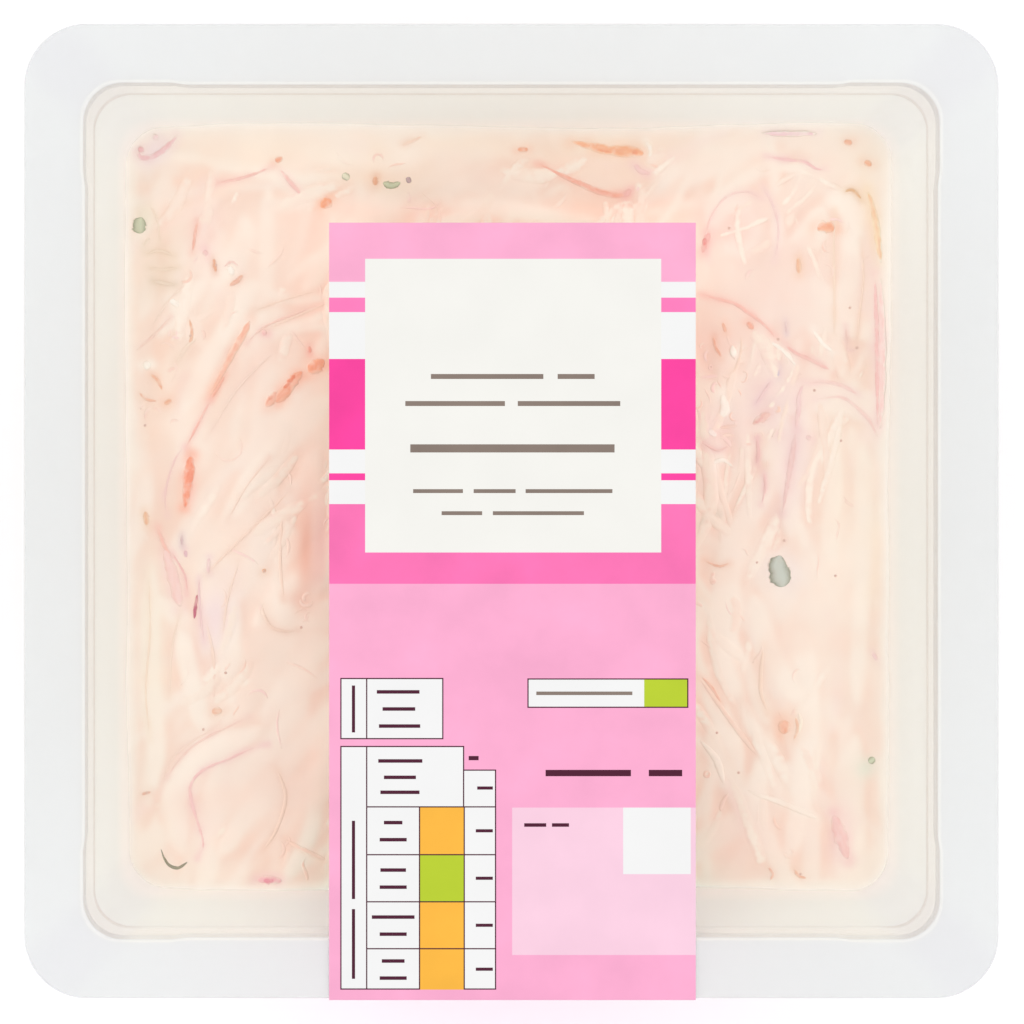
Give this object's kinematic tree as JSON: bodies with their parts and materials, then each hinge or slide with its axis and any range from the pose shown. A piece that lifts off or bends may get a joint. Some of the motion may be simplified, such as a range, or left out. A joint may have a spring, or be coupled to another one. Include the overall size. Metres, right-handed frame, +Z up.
{
  "type": "pack of coleslaw",
  "caption": "Square translucent plastic tray of coleslaw, sealed with a clear film lid, with a paper label that wraps over the front edge and under the base.",
  "frame": {"origin": "on the surface the pack stands on, under the middle of the pack", "axes": "+Z up, +X to the right of someone who reads the label, -Y the side the label wraps over"},
  "size_m": [0.137, 0.1373, 0.0464],
  "materials": {
    "tray_plastic": "translucent, softly glossy moulded plastic",
    "clear_film": "clear, glossy, drawn tight",
    "dressed_salad": "moist shreds in a creamy dressing",
    "label_paper": "printed in pale pink and magenta fields, softly glossy"
  },
  "bodies": {
    "root": {"tray": "tray_plastic", "lid_film": "clear_film", "coleslaw": "dressed_salad", "label": "label_paper"}
  },
  "joints": []
}
